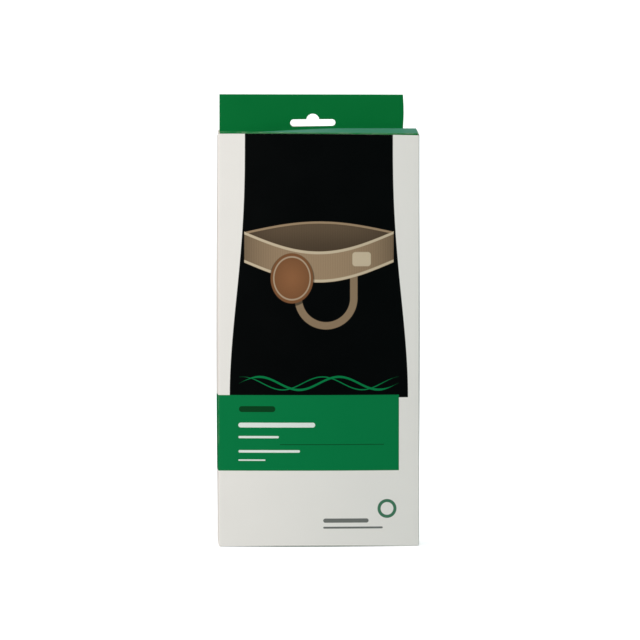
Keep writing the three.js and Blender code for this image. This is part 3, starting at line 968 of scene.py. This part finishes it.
def printed_white(name, sizes, inks):
    """Coated white board with the printed front."""
    material, w, shader, flat = material_parts(name, specular=0.08)
    across, up, _ = w.split(flat)
    out = w.size(across)

    def patch(middle, height, half_width, half_height, **edge):
        return w.effect(
            "Printed Patch", across=across, up=up, centre_across=middle, centre_up=height,
            half_width=half_width, half_height=half_height, **edge,
        )["Mask"]

    climb = w.ramp(up, FIELD_FOOT, HEIGHT / MM)
    flare = w.calc("POWER", w.sub(1.0, climb), 1.5)
    half = w.mul_add(flare, FIELD_FOOT_HALF - FIELD_TOP_HALF, FIELD_TOP_HALF)
    over_foot = w.ramp(up, FIELD_FOOT - 0.15, FIELD_FOOT + 0.15)
    field = w.mul(w.near(w.sub(out, half), 0.0, 0.15), over_foot)
    ground = w.mix(field, inks.white, inks.black)
    ground = belt_drawing(w, across, up, ground, inks)

    for start, line in WAVES:
        sway = w.calc("SINE", w.mul_add(across, WAVE_RATE, start))
        off = w.size(w.sub(up, w.mul_add(sway, WAVE_SWING, WAVE_FOOT)))
        taper = w.mul_add(w.ramp(out, WAVE_END, WAVE_THIN), -line, line)
        stroke = w.mul(w.near(w.add(off, taper), line, 0.15), w.near(out, WAVE_END - 0.2, 0.2))
        ground = w.mix(stroke, ground, inks.label)

    middle, height = (LABEL_RIGHT - LABEL_WRAP) / 2, (LABEL_TOP + LABEL_FOOT) / 2
    label = patch(middle, height, LABEL_RIGHT - middle, LABEL_TOP - height, corner=0.2)
    ground = w.mix(label, ground, inks.label)
    for *place, half_height, tone in BARS:
        bar = patch(*place, half_height, corner=half_height * 0.98, blur=0.12)
        ground = w.mix(bar, ground, getattr(inks, tone))
    ring = w.effect("Printed Hoop", across=across, up=up, **RING)["Mask"]
    ground = w.mix(ring, ground, inks.leaf)

    fold = (HALF_WIDTH - sizes.crease + QUARTER / 2 * sizes.crease) / MM
    from_fold = w.size(w.sub(out, fold))
    ends = w.calc("MINIMUM", up, w.sub((HEIGHT - FREE_EDGE) / MM, up))
    from_edge = w.sub(ends, FREE_EDGE / MM)
    worn = w.most(
        w.effect("Fold Wear", place=flat, distance=from_fold, band=0.9, amount=0.42)["Mask"],
        w.effect("Fold Wear", place=flat, distance=from_edge, band=0.8, amount=0.26)["Mask"],
    )
    ground = w.mix(worn, ground, inks.core)
    glue_line = max(s.flat for s in sleeve_stations(sizes)) / MM - (GLUE_HIGH.x - BACK_LOW.x) / MM
    seam = w.ramp(across, glue_line - 0.9, glue_line + 0.9)
    coat_board(w, shader, flat, ground, **WHITE_COAT, worn=worn, seam=seam)
    return material


def printed_green(name, sizes, inks):
    """Coated board in solid green, worn along the front fold, the lid's crease and the top."""
    material, w, shader, flat = material_parts(name, specular=0.1)
    along = w.split(flat)[1]
    at = HeaderPath(sizes).at
    worn = None
    for place, amount in ((at.lid / 2, 0.5), (at.crease, 0.34), ((at.top + at.back) / 2, 0.44)):
        distance = w.size(w.sub(along, place / MM))
        mask = w.effect("Fold Wear", place=flat, distance=distance, band=0.9, amount=amount)
        worn = w.most(worn, mask["Mask"]) if worn else mask["Mask"]
    ground = w.mix(worn, inks.green, inks.core)
    coat_board(w, shader, flat, ground, **GREEN_COAT, worn=worn)
    w.feed(shader, GREEN_SHEEN)
    return material


def blank_white(name, _, inks):
    """Coated white board without print, for the outer face of the dust flaps."""
    material, w, shader, flat = material_parts(name, specular=0.35)
    coat_board(w, shader, flat, inks.white, **WHITE_COAT)
    return material


def paper(name, tint, specks, depth):
    """Uncoated paper, as on the reverse and in a cut edge."""
    material, w, shader, flat = material_parts(name, roughness=0.86, specular=0.2)
    fibre = w.effect("Paper Fibre", place=flat, specks=specks)
    finish(w, shader, w.scaled(tint, fibre["Tone"]), fibre["Height"], depth)
    return material


FACES = {
    "printed white board": printed_white,
    "printed green board": printed_green,
    "plain white board": blank_white,
}


def board_materials(face, sizes, inks):
    """Materials for the outer face, the reverse and the cut edges of one board."""
    known = bpy.data.materials.get
    return [
        known(face) or FACES[face](face, sizes, inks),
        known("grey reverse") or paper("grey reverse", inks.reverse, 0.22, REVERSE_DEPTH),
        known("cut edge") or paper("cut edge", inks.core, 0.1, EDGE_DEPTH),
    ]


class CARTON_OT_sleeve(bpy.types.Operator):
    """Build the sleeve: front, sides, back and glue flap"""

    bl_idname = "carton.sleeve"
    bl_label = "Sleeve"

    def execute(self, context):
        sizes, inks = context.scene.carton_sizes, context.scene.carton_inks
        piece = build_sleeve(sizes, board_materials("printed white board", sizes, inks))
        panels = ("front_panel", "back_panel", "left_side_panel", "right_side_panel", "glue_flap")
        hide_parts(*panels)
        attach(piece, "carton")
        return {"FINISHED"}


class CARTON_OT_header_and_lid(bpy.types.Operator):
    """Build the header with its slot, the lid and the tuck flap"""

    bl_idname = "carton.header_and_lid"
    bl_label = "Header and lid"

    def execute(self, context):
        sizes, inks = context.scene.carton_sizes, context.scene.carton_inks
        piece = build_header_and_lid(sizes, board_materials("printed green board", sizes, inks))
        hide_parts("hang_header", "top_panel", "tuck_flap")
        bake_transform(piece)
        return {"FINISHED"}


class CARTON_OT_dust_flaps(bpy.types.Operator):
    """Build the four flaps that fold in from the sides"""

    bl_idname = "carton.dust_flaps"
    bl_label = "Dust flaps"

    def execute(self, context):
        sizes, inks = context.scene.carton_sizes, context.scene.carton_inks
        materials = board_materials("plain white board", sizes, inks)
        for end, end_name in ((1, "top"), (-1, "bottom")):
            for side, side_name in ((-1, "left"), (1, "right")):
                name = f"{end_name}_flap_{side_name}"
                piece = build_dust_flap(sizes, name, side, end, materials)
                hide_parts(f"{end_name}_dust_flap_{side_name}")
                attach(piece, "carton")
        return {"FINISHED"}


class CARTON_OT_bottom(bpy.types.Operator):
    """Build the bottom and its tuck flap"""

    bl_idname = "carton.bottom"
    bl_label = "Bottom"

    def execute(self, context):
        sizes, inks = context.scene.carton_sizes, context.scene.carton_inks
        piece = build_bottom(sizes, board_materials("printed green board", sizes, inks))
        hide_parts("bottom_panel", "bottom_tuck_flap")
        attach(piece, "carton")
        return {"FINISHED"}


class CARTON_OT_stage(bpy.types.Operator):
    """Build the floor, the lights, the room and the camera"""

    bl_idname = "carton.stage"
    bl_label = "Stage"

    def execute(self, context):
        settings = context.scene.carton_stage
        add_floor(settings)
        add_key(settings)
        for name, *angles in SUNS:
            add_sun(f"{name} light", getattr(settings, name), *angles)
        set_room(context.scene, settings)
        add_camera(context.scene, settings)
        context.scene.view_settings.view_transform = "Standard"
        return {"FINISHED"}


class CARTON_PT_sidebar(bpy.types.Panel):
    """Sizes, inks and the steps that build the carton"""

    bl_idname = "CARTON_PT_sidebar"
    bl_label = "Hanging Carton"
    bl_space_type = "VIEW_3D"
    bl_region_type = "UI"
    bl_category = "Carton"

    def draw(self, context):
        layout = self.layout
        for step in STEPS:
            layout.operator(step.bl_idname)
        for group in GROUPS:
            settings = getattr(context.scene, group)
            for name in settings.__annotations__:
                layout.prop(settings, name)


STEPS = (
    CARTON_OT_sleeve,
    CARTON_OT_header_and_lid,
    CARTON_OT_dust_flaps,
    CARTON_OT_bottom,
    CARTON_OT_stage,
)
GROUPS = {"carton_sizes": CartonSizes, "carton_inks": PrintColours, "carton_stage": StageSettings}
CLASSES = (*GROUPS.values(), *STEPS, CARTON_PT_sidebar)


def register():
    for cls in CLASSES:
        bpy.utils.register_class(cls)
    for name, group in GROUPS.items():
        setattr(bpy.types.Scene, name, PointerProperty(type=group))


def unregister():
    for name in GROUPS:
        delattr(bpy.types.Scene, name)
    for cls in reversed(CLASSES):
        bpy.utils.unregister_class(cls)


FLOOR_HALF = 20.0
FLOOR_GAP = 0.02 * MM
FLOOR_GLOW = 0.35
# Far lights: the setting that tones each, its turn to the left of the front, its rise above the
# floor and its softness, in degrees
SUNS = (("fill", -45.0, 15.0, 60.0), ("top", 10.0, 80.0, 70.0))


def add_floor(settings):
    """A wide pale floor at the height of the carton's foot."""
    mesh = bpy.data.meshes.new("floor")
    corners = [(x * FLOOR_HALF, y * FLOOR_HALF, 0) for x, y in ((-1, -1), (1, -1), (1, 1), (-1, 1))]
    mesh.from_pydata(corners, [], [(0, 1, 2, 3)])
    floor = bpy.data.objects.new("floor", mesh)
    floor.location.z = -FLOOR_GAP
    floor.visible_glossy = False
    floor.visible_diffuse = False
    bpy.context.scene.collection.objects.link(floor)
    material, w, shader, _ = material_parts("pale floor", roughness=0.9, specular=0.0)
    glow = {"Emission Color": (1.0, 1.0, 1.0), "Emission Strength": FLOOR_GLOW}
    w.feed(shader, {"Base Color": tuple(settings.floor), **glow})
    mesh.materials.append(material)
    return floor


def direction_to(turn, rise):
    """Unit vector to a light or a camera so far to the left of the front and above the floor."""
    level = math.cos(rise)
    return Vector((-math.sin(turn) * level, -math.cos(turn) * level, math.sin(rise)))


def add_light(name, kind, strength, towards, place):
    """A light of the given tone, turned to the carton; gives its object and its peak tone."""
    light = bpy.data.lights.new(name, kind)
    peak = max(strength)
    light.color = [share / peak for share in strength]
    lamp = bpy.data.objects.new(name, light)
    lamp.rotation_euler = towards.to_track_quat("Z", "Y").to_euler()
    lamp.location = place
    bpy.context.scene.collection.objects.link(lamp)
    return lamp, peak


def add_sun(name, strength, turn, rise, softness):
    """A soft far light, with its angles in degrees."""
    towards = direction_to(math.radians(turn), math.radians(rise))
    sun, peak = add_light(name, "SUN", strength, towards, towards)
    sun.data.energy = math.pi * peak
    sun.data.angle = math.radians(softness)


def add_key(settings):
    """The large lamp that stands near the carton's left and fades towards its lower right."""
    towards = direction_to(settings.key_turn, settings.key_rise)
    place = Vector((0, -HALF_DEPTH, HEIGHT / 2)) + towards * settings.key_distance
    key, peak = add_light("key light", "AREA", settings.key, towards, place)
    key.data.shape = "DISK"
    key.data.size = settings.key_size
    reach = settings.key_distance**2 + (settings.key_size / 2) ** 2
    key.data.energy = math.pi**2 * reach * peak
    key.visible_camera = False


def set_room(scene, settings):
    """White behind the carton, a dim room that is brighter at the back, dark in low reflections."""
    world = bpy.data.worlds.new("room")
    world.use_nodes = True
    w = Wiring(world.node_tree)
    world.node_tree.nodes.clear()
    path = w.node("ShaderNodeLightPath").outputs
    _, rearward, upward = w.split(w.node("ShaderNodeTexCoord").outputs["Generated"])
    lit = w.most(w.ramp(upward, -0.02, 0.25), path["Is Diffuse Ray"])
    behind = w.mul(w.ramp(rearward, -0.1, 0.8), path["Is Diffuse Ray"])
    dim = w.mix(behind, w.mix(lit, (0, 0, 0), settings.room), settings.rear)
    shown = w.mix(path["Is Camera Ray"], dim, (1, 1, 1))
    w.put("ShaderNodeOutputWorld", {"Surface": w.put("ShaderNodeBackground", {"Color": shown})[0]})
    scene.world = world


def add_camera(scene, settings):
    """The camera at the photograph's viewing angle."""
    lens = bpy.data.cameras.new("camera")
    lens.sensor_width = 36.0
    lens.lens = lens.sensor_width * settings.distance / settings.view_width
    lens.clip_start, lens.clip_end = 0.1, 100.0
    camera = bpy.data.objects.new("camera", lens)
    back = direction_to(settings.turn, settings.rise)
    aim = Vector((settings.aim_across, -HALF_DEPTH, settings.aim_height))
    camera.location = aim + back * settings.distance
    camera.rotation_euler = back.to_track_quat("Z", "Y").to_euler()
    scene.collection.objects.link(camera)
    scene.camera = camera


def main():
    register()
    for step in STEPS:
        area, name = step.bl_idname.split(".")
        getattr(getattr(bpy.ops, area), name)()


if __name__ == "__main__":
    main()
